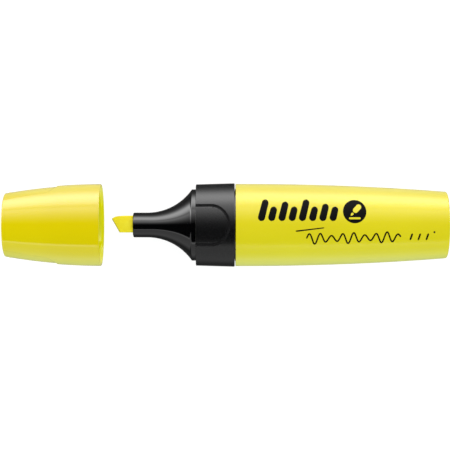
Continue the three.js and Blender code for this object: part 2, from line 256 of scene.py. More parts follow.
def make_nib():
    bm = bmesh.new()
    box_between(
        bm,
        Vector((nib_low.x - MM, nib_low.y, nib_low.z)),
        Vector((NIB_SHOULDER, nib_high.y, nib_high.z)),
    )
    along = [e for e in bm.edges if abs(e.verts[0].co.x - e.verts[1].co.x) > 10 * MM]
    bevel(bm, along, NIB_CORNER, 4)
    # The slanted writing edge, from the leading point back to the heel.
    slant = NIB_HEEL - NIB_POINT
    outwards = Vector((slant.y, -slant.x, 0)).normalized()
    cut(bm, NIB_POINT, outwards)
    for back, down, slope in NIB_BROW:
        at = Vector((nib_low.x + back * MM, nib_high.y - down * MM, AXIS_Z))
        cut(bm, at, Vector((-slope, 1, 0)))
    # Two ground flats thin the bar to the writing edge.
    rise = (nib_high.z - nib_low.z - NIB_EDGE_THICKNESS) / 2 / NIB_BEVEL_LENGTH
    for side in (1, -1):
        edge = NIB_POINT + Vector((0, 0, side * NIB_EDGE_THICKNESS / 2))
        cut(bm, edge, Vector((outwards.x * rise, outwards.y * rise, side)))
    sharp = [e for e in bm.edges if e.is_manifold and e.calc_face_angle() > math.radians(12)]
    front = [e for e in sharp if max(v.co.x for v in e.verts) < seat_x - 20 * MM]
    bevel(bm, front, 0.12 * MM, 3)
    # The slim tail, which starts inside the bar, reaches into the reservoir.
    middle = (nib_low.y + nib_high.y) / 2
    box_between(
        bm,
        Vector((NIB_SHOULDER - 0.1 * MM, middle - NIB_TAIL_HALF_WIDTH, AXIS_Z - NIB_TAIL_HALF_DEPTH)),
        Vector((nib_high.x, middle + NIB_TAIL_HALF_WIDTH, AXIS_Z + NIB_TAIL_HALF_DEPTH)),
    )
    bmesh.ops.recalc_face_normals(bm, faces=bm.faces)
    material = soaked_fibre("soaked_nib_fibre", "fff236", "fae60e", 0.09 * MM)
    paint_writing_edge_shade(material, outwards)
    return to_piece("chisel_nib", bm, material)


seat(make_nib(), "pen", "nib_fibre", "nib")

# ---- Nose section: black ABS, moulded in a polished tool --------------------------------------------------
# A round tube holds the nib, and a flare opens to the oval flange that the cap slips over. Behind it the
# collar sits in a groove and a spigot plugs into the barrel. The polish gives hard, bright reflections.

ROUND_STEPS = 144
nose_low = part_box("nose_section")[0]
collar_low, collar_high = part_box("grip_collar")
OVAL = (collar_high.z - collar_low.z) / (collar_high.y - collar_low.y)  # the body's depth over its width


def turned(profile, steps=ROUND_STEPS):
    """Spins a profile of (x, half-width) points about the pen's axis. A closed profile makes a ring."""
    bm = bmesh.new()
    verts = [bm.verts.new((x, 0, half_width)) for x, half_width in profile]
    edges = [bm.edges.new(pair) for pair in zip(verts, verts[1:])]
    bmesh.ops.spin(
        bm,
        geom=verts + edges,
        cent=(0, 0, 0),
        axis=(1, 0, 0),
        angle=2 * math.pi,
        steps=steps,
        use_merge=True,
        use_duplicate=False,
    )
    bmesh.ops.remove_doubles(bm, verts=bm.verts, dist=0.001 * MM)
    bmesh.ops.recalc_face_normals(bm, faces=bm.faces)
    return bm


def closed(profile):
    """The same profile, ending where it starts."""
    return [*profile, profile[0]]


def lay_flat(bm, ratio=lambda x: OVAL):
    """Presses the round section to an oval, ratio(x) as deep as it is wide, and lifts it to the axis."""
    for vert in bm.verts:
        vert.co.z = vert.co.z * ratio(vert.co.x) + AXIS_Z


def arc(x, half_width, radius, start, end, count):
    """Points on an arc about (x, half_width), with angles in degrees from +X."""
    angles = [math.radians(start + (end - start) * i / count) for i in range(count + 1)]
    return [(x + radius * math.cos(a), half_width + radius * math.sin(a)) for a in angles]


TUBE_RADIUS = 4.05 * MM
FLARE_START = seat_x - 16 * MM
FLARE_RADIUS = 17.9 * MM
FLARE_TURN = 53.3
FLARE_LENGTH = FLARE_RADIUS * math.sin(math.radians(FLARE_TURN))
FLARE_END_HALF_WIDTH = TUBE_RADIUS + FLARE_RADIUS * (1 - math.cos(math.radians(FLARE_TURN)))
FLARE_SWELL = 1.5  # how late the flare's depth grows: 1 would be a straight cone
FLANGE_HALF_WIDTH = 11.67 * MM
FLANGE_CORNER = 0.45 * MM
NOSE_BORE = 3.3 * MM
HOLDER_HALF_WIDTH = 4.4 * MM
HOLDER_END = seat_x + 11 * MM
SPIGOT_HALF_WIDTH = 11.75 * MM
SPIGOT_WALL = 1.5 * MM
SPIGOT_CHAMFER = 0.6 * MM
RIB_THICKNESS = 1.0 * MM


def nose_ratio(x):
    """Round at the tube, and as oval as the body from the flange back.

    Along the flare the depth grows more evenly than the width.
    """
    along = min(max(x - FLARE_START, 0), FLARE_LENGTH)
    half_width = TUBE_RADIUS + FLARE_RADIUS - math.sqrt(FLARE_RADIUS**2 - along**2)
    growth = (along / FLARE_LENGTH) ** FLARE_SWELL
    half_depth = TUBE_RADIUS + (OVAL * FLARE_END_HALF_WIDTH - TUBE_RADIUS) * growth
    return half_depth / half_width


def moulding_marks(tree, depth, grain):
    """A bump of the tool's fine surface, and of the faint sinks and flow that any moulding has."""
    place = node(tree, "ShaderNodeTexCoord").outputs["Object"]
    fine = node(tree, "ShaderNodeTexNoise", Vector=place, Scale=1 / grain, Detail=2.0)
    sink = node(tree, "ShaderNodeTexNoise", Vector=place, Scale=120.0, Detail=1.0)
    height = node(
        tree,
        "ShaderNodeMath",
        {"operation": "MULTIPLY_ADD"},
        in0=sink.outputs["Fac"],
        in1=0.5,
        in2=fine.outputs["Fac"],
    ).outputs["Value"]
    return node(tree, "ShaderNodeBump", Strength=0.25, Distance=depth, Height=height), fine.outputs["Fac"]


def polished_black():
    """Black ABS from a polished tool: near-mirror gloss, with the faintest waviness and handling haze."""
    material, tree, shader = new_material("polished_black_abs")
    bump, grain = moulding_marks(tree, 0.004 * MM, 0.6 * MM)
    tree.links.new(bump.outputs["Normal"], shader.inputs["Normal"])
    haze = node(tree, "ShaderNodeMapRange", Value=grain, To_Min=0.05, To_Max=0.09)
    tree.links.new(haze.outputs["Result"], shader.inputs["Roughness"])
    tint = node(tree, "ShaderNodeValToRGB", Fac=grain)
    tint.color_ramp.elements[0].color = hex_color("030304")
    tint.color_ramp.elements[1].color = hex_color("070708")
    tree.links.new(tint.outputs["Color"], shader.inputs["Base Color"])
    shader.inputs["IOR"].default_value = 1.51
    return material


def add_ribs(bm, ends, inner, ratio=lambda x: OVAL):
    """Four ribs inside a wall, in the planes of the axes. Each end is (x, half-width that it reaches)."""
    half = RIB_THICKNESS / 2
    for side in (1, -1):
        for upright in (False, True):
            rib = bmesh.ops.create_cube(bm, size=1.0)["verts"]
            for vert in rib:
                x, reach = ends[0] if vert.co.x < 0 else ends[1]
                out = (reach * (ratio(x) if upright else 1) if vert.co.y > 0 else inner) * side
                edge = math.copysign(half, vert.co.z)
                vert.co = (x, edge, AXIS_Z + out) if upright else (x, out, AXIS_Z + edge)
    bmesh.ops.recalc_face_normals(bm, faces=bm.faces)


def square_the_bore(verts, turns):
    """Gives the holder's bore the nib's own section with rounded corners, as a loose sliding fit."""
    slack = 0.12 * MM
    half_width = (nib_high.y - nib_low.y) / 2 + slack
    half_depth = (nib_high.z - nib_low.z) / 2 + slack
    squareness = 7  # 2 would be an oval, and a large number a sharp rectangle
    for vert, turn in zip(verts, turns):
        across = abs(math.cos(turn) / half_width) ** squareness
        through = abs(math.sin(turn) / half_depth) ** squareness
        reach = (across + through) ** (-1 / squareness)
        vert.co.y = (nib_low.y + nib_high.y) / 2 + reach * math.cos(turn)
        vert.co.z = AXIS_Z + reach * math.sin(turn)


def make_nose_section():
    lip = 0.4 * MM
    flange_front = FLARE_START + FLARE_LENGTH + 0.5 * MM
    flange_back = seat_x - 0.1 * MM
    collar_seat = 11.1 * MM
    shoulder = collar_high.x + 0.1 * MM
    spigot_end = seat_x + 19.5 * MM
    outline = [
        (nose_low.x, NOSE_BORE),
        *arc(nose_low.x + lip, TUBE_RADIUS - lip, lip, 180, 90, 6),
        (FLARE_START - 4 * MM, TUBE_RADIUS),
        (FLARE_START - 2 * MM, TUBE_RADIUS),
        *arc(FLARE_START, TUBE_RADIUS + FLARE_RADIUS, -FLARE_RADIUS, 90, 90 + FLARE_TURN, 36),
        *arc(flange_front, FLANGE_HALF_WIDTH - FLANGE_CORNER, FLANGE_CORNER, 135, 90, 5),
        (flange_back, FLANGE_HALF_WIDTH),
        (flange_back, collar_seat),
        (shoulder, collar_seat),
        (shoulder, SPIGOT_HALF_WIDTH),
        (spigot_end - SPIGOT_CHAMFER, SPIGOT_HALF_WIDTH),
        (spigot_end, SPIGOT_HALF_WIDTH - SPIGOT_CHAMFER),
        (spigot_end, SPIGOT_HALF_WIDTH - SPIGOT_WALL),
        (seat_x + 0.5 * MM, SPIGOT_HALF_WIDTH - SPIGOT_WALL),
        (seat_x - 6 * MM, 5 * MM),
        (seat_x - 7.7 * MM, HOLDER_HALF_WIDTH),
        (HOLDER_END, HOLDER_HALF_WIDTH),
        (HOLDER_END, NOSE_BORE),
    ]
    bm = turned(closed(outline))
    bored = [v for v in bm.verts if math.hypot(v.co.y, v.co.z) < NOSE_BORE + 0.01 * MM]
    turns = [math.atan2(v.co.z, v.co.y) for v in bored]
    lay_flat(bm, nose_ratio)
    square_the_bore(bored, turns)
    front = (seat_x - 9 * MM, 4.8 * MM)
    back = (HOLDER_END - 5 * MM, SPIGOT_HALF_WIDTH - 0.8 * MM)
    add_ribs(bm, (front, back), HOLDER_HALF_WIDTH - 0.3 * MM, nose_ratio)
    piece = to_piece("nose_moulding", bm, polished_black())
    seat(piece, "pen", "black_gloss_plastic", "nose_section")


make_nose_section()

# ---- Grip collar: a satin black ring, moulded in polypropylene and sprung over the flange -----------------
# Both broad faces carry a thumb recess: a shallow tongue, open at the front, with a soft groove around its
# edge. The spark-eroded tool leaves a fine matt skin, so its reflections are broad and grey.

THUMB_HALF_WIDTH = 6.7 * MM
THUMB_END = 11.2 * MM
THUMB_ROUND_END = 6.1 * MM
THUMB_FLOOR = 0.12 * MM
THUMB_GROOVE = 0.25 * MM
THUMB_GROOVE_WIDTH = 0.95 * MM
COLLAR_FRONT_HALF_WIDTH = 13.3 * MM
COLLAR_BORE = 11.4 * MM
COLLAR_ROWS = 108
COLLAR_STEPS = 420


def smooth(low, high, value):
    """0 below low, 1 above high, and an even turn between them."""
    t = min(max((value - low) / (high - low), 0), 1)
    return t * t * (3 - 2 * t)


def tongue_inset(along, across, end, half_width, round_end):
    """How far a point lies inside a tongue with a rounded end, in metres. It is negative outside."""
    past = max(along - (end - round_end), 0) / round_end
    reach = math.hypot(past, across / half_width)
    return (1 - reach) * half_width


def satin_black():
    """Black polypropylene with a spark-eroded skin: satin, finely grained, a little rubbed by thumbs."""
    material, tree, shader = new_material("satin_black_polypropylene")
    bump, grain = moulding_marks(tree, 0.012 * MM, 0.18 * MM)
    tree.links.new(bump.outputs["Normal"], shader.inputs["Normal"])
    rub = node(tree, "ShaderNodeMapRange", Value=grain, To_Min=0.24, To_Max=0.32)
    tree.links.new(rub.outputs["Result"], shader.inputs["Roughness"])
    tint = node(tree, "ShaderNodeValToRGB", Fac=grain)
    tint.color_ramp.elements[0].color = hex_color("080809")
    tint.color_ramp.elements[1].color = hex_color("0d0d0e")
    tree.links.new(tint.outputs["Color"], shader.inputs["Base Color"])
    shader.inputs["IOR"].default_value = 1.45
    return material


def groove_black_painted_shade():
    """The same plastic, rough and with its gloss cut low: painted shade for the hollow of the groove, which
    takes the light away.
    """
    material, tree, shader = new_material("rough_black_painted_groove_shade")
    bump, grain = moulding_marks(tree, 0.03 * MM, 0.12 * MM)
    tree.links.new(bump.outputs["Normal"], shader.inputs["Normal"])
    tint = node(tree, "ShaderNodeValToRGB", Fac=grain)
    tint.color_ramp.elements[0].color = hex_color("070708")
    tint.color_ramp.elements[1].color = hex_color("111112")
    tree.links.new(tint.outputs["Color"], shader.inputs["Base Color"])
    # Painted shade: the low specular level, high roughness and dark tint keep the groove dark under any
    # light.
    shader.inputs["Roughness"].default_value = 0.75
    shader.inputs["Specular IOR Level"].default_value = 0.12
    return material


def inset_at(place):
    """How far a point of the collar lies inside the thumb recess."""
    return tongue_inset(place.x - seat_x, place.y, THUMB_END, THUMB_HALF_WIDTH, THUMB_ROUND_END)


def press_thumb_recess(bm, skin):
    """Sinks the recess and its groove into both broad faces, and gives the groove its dulled material, which
    paints shade there.
    """
    for face in bm.faces:
        middle = face.calc_center_median()
        if math.hypot(middle.y, middle.z) > skin and 0 < inset_at(middle) < THUMB_GROOVE_WIDTH:
            face.material_index = 1
    for vert in bm.verts:
        if math.hypot(vert.co.y, vert.co.z) < skin:
            continue
        inset = inset_at(vert.co)
        drop = THUMB_FLOOR * smooth(THUMB_GROOVE_WIDTH / 2, THUMB_GROOVE_WIDTH, inset)
        hollow = min(max(inset / THUMB_GROOVE_WIDTH, 0), 1)
        drop += THUMB_GROOVE * (1 - math.cos(2 * math.pi * hollow)) / 2
        vert.co.z -= math.copysign(drop, vert.co.z) / OVAL


def make_grip_collar():
    length = collar_high.x - collar_low.x
    back_half_width = (collar_high.y - collar_low.y) / 2
    front_edge = 0.18 * MM
    back_edge = 0.28 * MM
    straight = [
        (
            collar_low.x + front_edge + (length - front_edge - back_edge) * i / COLLAR_ROWS,
            COLLAR_FRONT_HALF_WIDTH + (back_half_width - COLLAR_FRONT_HALF_WIDTH) * i / COLLAR_ROWS,
        )
        for i in range(COLLAR_ROWS + 1)
    ]
    outline = [
        (collar_low.x, COLLAR_BORE),
        (collar_low.x, COLLAR_FRONT_HALF_WIDTH - 1.2 * MM),
        *arc(collar_low.x + front_edge, COLLAR_FRONT_HALF_WIDTH - front_edge, front_edge, 180, 100, 4),
        *straight,
        *arc(collar_high.x - back_edge, back_half_width - back_edge, back_edge, 80, 0, 5),
        (collar_high.x, COLLAR_BORE),
    ]
    bm = turned(closed(outline), COLLAR_STEPS)
    press_thumb_recess(bm, COLLAR_FRONT_HALF_WIDTH - 1.0 * MM)
    lay_flat(bm)
    piece = to_piece("grip_ring", bm, satin_black(), groove_black_painted_shade())
    seat(piece, "pen", "black_satin_plastic", "grip_collar")


make_grip_collar()

# ---- Barrel: fluorescent yellow polypropylene, one moulding with a flat closed tail -----------------------
# Its sides run parallel behind the collar and bend in evenly to the tail. The tool is lightly polished, so
# the yellow has a broad, silky reflection and a small bright line on its edges.

barrel_low, barrel_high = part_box("barrel")
BARREL_BOW_START = seat_x + 16 * MM
BARREL_BOW_RADIUS = 850 * MM
BARREL_WALL = 1.4 * MM
EDGE_PAINTED_HIGHLIGHT = 0.5


def barrel_half_width(x):
    """Half the barrel's width at x: parallel in front, then on one long arc."""
    return barrel_high.y - max(0, x - BARREL_BOW_START) ** 2 / (2 * BARREL_BOW_RADIUS)


def fluorescent_plastic(name, deep, light, roughness, glow=0.0):
    """Yellow plastic with a fluorescent pigment. The glow sets an emission: a painted glow that stands in
    for light coming through thin walls.

    It shows the fine skin of the tool and a thread-thin parting line along both narrow sides. Along the
    narrow sides, near the parting plane, the colour is painted paler: a painted highlight for the sheen of
    light there. Hairline scratches from handling dull it a little.
    """
    material, tree, shader = new_material(name)
    place = node(tree, "ShaderNodeTexCoord").outputs["Object"]
    parts = node(tree, "ShaderNodeSeparateXYZ", Vector=place)
    up = node(tree, "ShaderNodeMath", {"operation": "SUBTRACT"}, in0=parts.outputs["Z"], in1=AXIS_Z)
    off_seam = node(tree, "ShaderNodeMath", {"operation": "ABSOLUTE"}, in0=up.outputs["Value"])
    off_middle = node(tree, "ShaderNodeMath", {"operation": "ABSOLUTE"}, in0=parts.outputs["Y"])
    seam = node(
        tree,
        "ShaderNodeMapRange",
        Value=off_seam.outputs["Value"],
        From_Min=0.03 * MM,
        From_Max=0.09 * MM,
        To_Min=1.0,
        To_Max=0.0,
    )
    skin, grain = moulding_marks(tree, 0.006 * MM, 0.35 * MM)
    parting = node(
        tree,
        "ShaderNodeBump",
        Strength=0.5,
        Distance=0.04 * MM,
        Height=seam.outputs["Result"],
        Normal=skin.outputs["Normal"],
    )
    tree.links.new(parting.outputs["Normal"], shader.inputs["Normal"])
    drawn_out = node(tree, "ShaderNodeMapping", Vector=place, Rotation=(0, 0, 0.3), Scale=(60, 2600, 1500))
    hairs = node(tree, "ShaderNodeTexNoise", Vector=drawn_out.outputs["Vector"], Scale=1.0, Detail=3.0)
    scratch = node(
        tree,
        "ShaderNodeMapRange",
        Value=hairs.outputs["Fac"],
        From_Min=0.62,
        From_Max=0.72,
        To_Max=0.07,
    ).outputs["Result"]
    rub = node(
        tree,
        "ShaderNodeMapRange",
        Value=grain,
        To_Min=roughness - 0.02,
        To_Max=roughness + 0.02,
    ).outputs["Result"]
    dull = node(tree, "ShaderNodeMath", {"operation": "ADD"}, in0=rub, in1=scratch).outputs["Value"]
    tree.links.new(dull, shader.inputs["Roughness"])
    flow = node(tree, "ShaderNodeTexNoise", Vector=place, Scale=40.0, Detail=2.0)
    tint = node(tree, "ShaderNodeValToRGB", Fac=flow.outputs["Fac"])
    tint.color_ramp.elements[0].position = 0.35
    tint.color_ramp.elements[0].color = hex_color(deep)
    tint.color_ramp.elements[1].position = 0.65
    tint.color_ramp.elements[1].color = hex_color(light)
    # Painted highlight: towards the narrow sides and near the parting plane, the base colour is mixed
    # towards pale yellow (fbf49a).
    outer = node(
        tree,
        "ShaderNodeMapRange",
        Value=off_middle.outputs["Value"],
        From_Min=7.0 * MM,
        From_Max=11.0 * MM,
    ).outputs["Result"]
    near_seam = node(
        tree,
        "ShaderNodeMapRange",
        Value=off_seam.outputs["Value"],
        From_Min=6.8 * MM,
        From_Max=3.0 * MM,
        To_Max=EDGE_PAINTED_HIGHLIGHT,
    ).outputs["Result"]
    pale = node(tree, "ShaderNodeMath", {"operation": "MULTIPLY"}, in0=outer, in1=near_seam)
    colour = node(
        tree,
        "ShaderNodeMix",
        {"data_type": "RGBA"},
        in0=pale.outputs["Value"],
        in6=tint.outputs["Color"],
        in7=hex_color("fbf49a"),
    ).outputs[2]
    tree.links.new(colour, shader.inputs["Base Color"])
    shader.inputs["IOR"].default_value = 1.54
    shader.inputs["Sheen Weight"].default_value = 0.2
    shader.inputs["Sheen Roughness"].default_value = 0.4
    # Painted glow: an emission of strength glow, standing in for light through the walls.
    shader.inputs["Emission Color"].default_value = hex_color("d8ec00")
    shader.inputs["Emission Strength"].default_value = glow
    return material


def spaced(start, end, count):
    """Evenly spaced numbers from start to end, both included."""
    return [start + (end - start) * i / count for i in range(count + 1)]


def make_barrel():
    tail_radius = 0.5 * MM
    front_edge = 0.15 * MM
    tail = barrel_high.x - tail_radius
    inner_floor = barrel_high.x - 1.7 * MM
    tail_half_width = barrel_half_width(tail)
    outline = [
        (barrel_high.x, 0),
        (barrel_high.x, tail_half_width * 0.5),
        *arc(tail, tail_half_width - tail_radius, tail_radius, 0, 75, 6),
        *[(x, barrel_half_width(x)) for x in spaced(tail, BARREL_BOW_START, 40)],
        *arc(barrel_low.x + front_edge, barrel_high.y - front_edge, front_edge, 90, 180, 4),
        (barrel_low.x, barrel_high.y - BARREL_WALL),
        *[(x, barrel_half_width(x) - BARREL_WALL) for x in spaced(BARREL_BOW_START, inner_floor, 12)],
        (inner_floor, 0),
    ]
    bm = turned(outline)
    lay_flat(bm)
    # Four long ribs centre the reservoir, and behind it they meet in the middle to stop it.
    in_wall = BARREL_WALL / 2
    front = seat_x + 21 * MM
    back = inner_floor + in_wall
    ends = ((front, barrel_half_width(front) - in_wall), (back, barrel_half_width(back) - in_wall))
    add_ribs(bm, ends, 6.1 * MM)
    reservoir_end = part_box("reservoir_film")[1].x + 0.3 * MM
    stop_reach = 6.8 * MM / OVAL
    add_ribs(bm, ((reservoir_end, stop_reach), (back, stop_reach)), -0.1 * MM)
    material = fluorescent_plastic("silky_yellow_polypropylene", "e4d700", "e9dd00", 0.2)
    seat(to_piece("barrel_moulding", bm, material), "pen", "yellow_plastic", "barrel")


make_barrel()

# ---- Print: black ink, pad-printed on the barrel's upper face ---------------------------------------------
# A generic mark: slanted bars, a disc with a marker in it, a freehand wave with a rule above it, and three
# dashes and a dot. The ink is a thin satin film that follows the curve of the barrel.

INK_LIFT = 0.03 * MM
INK_DEPTH = 0.04 * MM
# The mark is laid out in mm: along the pen from the seat, and across it from the axis.
BAR_HEIGHTS = (6.9, 4.6, 6.2, 4.6, 6.9, 4.6, 5.5, 4.6)
BAR_START = 20.9
BAR_SPACING = 3.28
BAR_FOOT = 1.3
BAR_LEAN = 0.26
WAVE_START = 35.6
WAVE_LENGTH = 30.4
WAVE_CREST_COUNT = 8.5
DASH_STARTS = (69.0, 71.6, 74.2)
DISC_CENTRE = (51.1, 4.3)
DISC_RADIUS = 3.75


def printing_ink(name, colour):
    """Pad-printing ink: a thin satin film, slightly uneven where the pad lifted off."""
    material, tree, shader = new_material(name)
    bump, grain = moulding_marks(tree, 0.004 * MM, 0.15 * MM)
    tree.links.new(bump.outputs["Normal"], shader.inputs["Normal"])
    rub = node(tree, "ShaderNodeMapRange", Value=grain, To_Min=0.45, To_Max=0.6)
    tree.links.new(rub.outputs["Result"], shader.inputs["Roughness"])
    shader.inputs["Base Color"].default_value = hex_color(colour)
    shader.inputs["Specular IOR Level"].default_value = 0.05
    return material


def barrel_top(x, y):
    """Height of the barrel's upper face."""
    return AXIS_Z + OVAL * math.sqrt(barrel_half_width(x) ** 2 - y**2)


def stroke(bm, path, half_width, lanes=4, lift=INK_LIFT, taper=1.0):
    """One stroke of ink along a path of (x, y) points, with round ends. Its width tapers to a share."""
    path = [Vector((seat_x + x * MM, y * MM)) for x, y in path]
    lengths = [0.0]
    for one, other in zip(path, path[1:]):
        lengths.append(lengths[-1] + (other - one).length)
    total = lengths[-1]
    rows = []
    for index, place in enumerate(path):
        ahead = path[min(index + 1, len(path) - 1)] - path[max(index - 1, 0)]
        side = Vector((-ahead.y, ahead.x)).normalized()
        from_end = min(lengths[index], total - lengths[index])
        cap = min(from_end / half_width, 1)
        reach = half_width * math.sqrt(max(1 - (1 - cap) ** 2, 0.03))
        reach *= 1 + (taper - 1) * lengths[index] / total
        row = []
        for lane in range(lanes + 1):
            spot = place + side * reach * (2 * lane / lanes - 1)
            row.append(bm.verts.new((spot.x, spot.y, barrel_top(spot.x, spot.y) + lift)))
        rows.append(row)
    for one, other in zip(rows, rows[1:]):
        for lane in range(lanes):
            bm.faces.new((one[lane], other[lane], other[lane + 1], one[lane + 1]))


def even_path(points, step):
    """The same broken line with points every step or closer, and closer still at its ends."""
    path = [points[0]]
    for one, other in zip(points, points[1:]):
        count = max(2, math.ceil(math.dist(one, other) / step))
        path += [
            (one[0] + (other[0] - one[0]) * i / count, one[1] + (other[1] - one[1]) * i / count)
            for i in range(1, count + 1)
        ]
    return path


def give_thickness(bm):
    """Turns each open sheet of ink into a closed film."""
    bmesh.ops.recalc_face_normals(bm, faces=bm.faces)
    for face in bm.faces:
        if face.normal.z < 0:
            face.normal_flip()
    sheet = bm.faces[:]
    result = bmesh.ops.extrude_face_region(bm, geom=sheet, use_keep_orig=True)
    lower = [v for v in result["geom"] if isinstance(v, bmesh.types.BMVert)]
    bmesh.ops.translate(bm, verts=lower, vec=(0, 0, -INK_DEPTH))
    bmesh.ops.recalc_face_normals(bm, faces=bm.faces)


def add_disc(bm):
    """A disc of ink, spun as rings about its centre and laid on the barrel."""
    rings = 12
    spoke = [bm.verts.new((DISC_RADIUS * MM * i / rings, 0, 0)) for i in range(rings + 1)]
    spokes = [bm.edges.new(pair) for pair in zip(spoke, spoke[1:])]
    bmesh.ops.spin(
        bm,
        geom=spoke + spokes,
        cent=(0, 0, 0),
        axis=(0, 0, 1),
        angle=2 * math.pi,
        steps=72,
        use_merge=True,
        use_duplicate=False,
    )
    flat = [v for v in bm.verts if abs(v.co.z) < MM]
    bmesh.ops.remove_doubles(bm, verts=flat, dist=0.001 * MM)
    for vert in [v for v in bm.verts if abs(v.co.z) < MM]:
        vert.co.x += seat_x + DISC_CENTRE[0] * MM
        vert.co.y += DISC_CENTRE[1] * MM
        vert.co.z = barrel_top(vert.co.x, vert.co.y) + INK_LIFT


def make_print():
    bm = bmesh.new()
    for index, height in enumerate(BAR_HEIGHTS):
        x = BAR_START + index * BAR_SPACING
        bar = [(x, BAR_FOOT), (x + BAR_LEAN * height, BAR_FOOT + height)]
        stroke(bm, even_path(bar, 0.3), 1.15 * MM, taper=0.9)
    # A freehand wave, whose height comes and goes, with a rule above its start.
    wave = []
    for t in spaced(0, 1, 260):
        swing = (1.3 + 0.45 * math.sin(t * 17.0)) * math.sin(t * 2 * math.pi * WAVE_CREST_COUNT)
        wave.append((WAVE_START + WAVE_LENGTH * t, -4.4 + 0.5 * t + swing))
    stroke(bm, wave, 0.24 * MM, lanes=2)
    stroke(bm, even_path([(32.1, -2.0), (41.3, -0.9)], 0.3), 0.23 * MM, lanes=2, taper=0.7)
    # Three short dashes and a dot.
    for x in DASH_STARTS:
        stroke(bm, even_path([(x, -4.9), (x + 0.7, -2.7)], 0.3), 0.28 * MM, lanes=2)
    stroke(bm, even_path([(76.5, -2.3), (77.1, -2.3)], 0.1), 0.35 * MM, lanes=2)
    add_disc(bm)
    give_thickness(bm)
    ink = to_piece("barrel_print", bm, printing_ink("black_pad_print", "060606"))
    seat(ink, "pen", "black_satin_plastic")


def make_bare_sign():
    """Inside the disc the ink leaves a marker bare: a slanted body with a tip, and the line it draws."""
    bare = bmesh.new()
    x, y = DISC_CENTRE
    high = INK_LIFT + 0.02 * MM
    body = [(x + 1.9, y + 2.1), (x - 0.3, y - 0.2)]
    tip = [(x - 0.5, y - 0.45), (x - 1.25, y - 1.3)]
    line = [(x - 1.9, y - 2.15), (x + 1.9, y - 2.15)]
    stroke(bare, even_path(body, 0.15), 0.85 * MM, lift=high)
    stroke(bare, even_path(tip, 0.15), 0.5 * MM, lift=high, taper=0.45)
    stroke(bare, even_path(line, 0.15), 0.32 * MM, lanes=2, lift=high)
    give_thickness(bare)
    material = fluorescent_plastic("unprinted_yellow", "e4d700", "e9dd00", 0.2)
    seat(to_piece("bare_marker_sign", bare, material), "pen", "yellow_plastic")


make_print()
make_bare_sign()

# ---- Cap: a yellow polypropylene shell with a soft polyethylene cup pressed into its closed end -----------
# The cup closes on the nib tube. The shell is the same yellow as the barrel, but from a polished tool. Its
# inside, socket wall included, is given a painted glow, an emission that stands in for the light that gets
# through the thin wall.

seal_low, seal_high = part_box("cap_inner_seal")
cap_low, cap_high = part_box("cap_shell")
SEAL_HALF_WIDTH = (seal_high.y - seal_low.y) / 2
SEAL_BORE = TUBE_RADIUS + 0.2 * MM
SEAL_NIB_ROOM = 3.85 * MM
SOCKET_INNER = 5.7 * MM
SOCKET_OUTER = 6.8 * MM
CAP_WALL = 1.4 * MM
CAP_BORE = FLANGE_HALF_WIDTH + 0.2 * MM
CAP_FLOOR = cap_low.x + 1.5 * MM
CAP_BOW_RADIUS = 180 * MM
CAP_RECESS_DEPTH = 0.3 * MM
CAP_RECESS_FRONT = cap_high.x - 14.2 * MM
CAP_RECESS_REACH = 40 * MM  # it runs out past the closed end
CAP_RECESS_HALF_WIDTH = 4.6 * MM
CAP_RECESS_ROUND_END = 4.2 * MM


def cap_half_width(x):
    """Half the cap's width at x, on one arc that is parallel at the mouth."""
    return cap_high.y - (cap_high.x - x) ** 2 / (2 * CAP_BOW_RADIUS)


def make_inner_seal():
    step = cap_high.x - 21.6 * MM
    floor = seal_low.x + 1.0 * MM
    outline = [
        (seal_low.x, 0),
        (seal_low.x, SEAL_HALF_WIDTH),
        (seal_high.x - 0.3 * MM, SEAL_HALF_WIDTH),
        (seal_high.x, SEAL_HALF_WIDTH - 0.3 * MM),
        (seal_high.x, SEAL_BORE + 0.8 * MM),
        (seal_high.x - 1.4 * MM, SEAL_BORE),
        (step, SEAL_BORE),
        (step, SEAL_NIB_ROOM),
        (floor, SEAL_NIB_ROOM),
        (floor, 0),
    ]
    bm = turned(outline, 72)
    lay_flat(bm, lambda x: 1)
    material = fluorescent_plastic("soft_polyethylene", "d6cd3c", "ddd648", 0.45)
    seat(to_piece("inner_seal_cup", bm, material), "cap", "seal_plastic", "cap_inner_seal")


make_inner_seal()


def under_cap_skin(place):
    """How far a point lies under the cap's outer surface."""
    half_width = math.hypot(place.y, (place.z - AXIS_Z) / OVAL)
    return cap_half_width(place.x) - half_width


def add_cap_socket(bm):
    """Inside the closed end, a round wall holds the inner seal and four ribs stiffen the shell."""
    mouth = cap_high.x - 25.8 * MM
    root = CAP_FLOOR - 0.3 * MM
    loop = [(root, SOCKET_INNER), (mouth, SOCKET_INNER), (mouth, SOCKET_OUTER), (root, SOCKET_OUTER)]
    wall = turned(closed(loop), 96)
    for vert in wall.verts:
        vert.co.z += AXIS_Z
    ribs_front = cap_high.x - 18 * MM
    half = RIB_THICKNESS / 2
    for side in (1, -1):
        foot_y = side * (cap_half_width(ribs_front) - 1.8 * MM)
        foot_z = foot_y * OVAL
        across = (
            Vector((CAP_FLOOR, side * SOCKET_OUTER, AXIS_Z - half)),
            Vector((ribs_front, foot_y, AXIS_Z + half)),
        )
        upright = (
            Vector((CAP_FLOOR, -half, AXIS_Z + side * (SOCKET_OUTER - 0.2 * MM))),
            Vector((ribs_front, half, AXIS_Z + foot_z)),
        )
        for one, other in (across, upright):
            low = Vector([min(pair) for pair in zip(one, other)])
            high = Vector([max(pair) for pair in zip(one, other)])
            box_between(wall, low, high)
    for face in wall.faces:
        face.material_index = 1
    spare = bpy.data.meshes.new("cap_socket")
    wall.to_mesh(spare)
    wall.free()
    bm.from_mesh(spare)
    bpy.data.meshes.remove(spare)


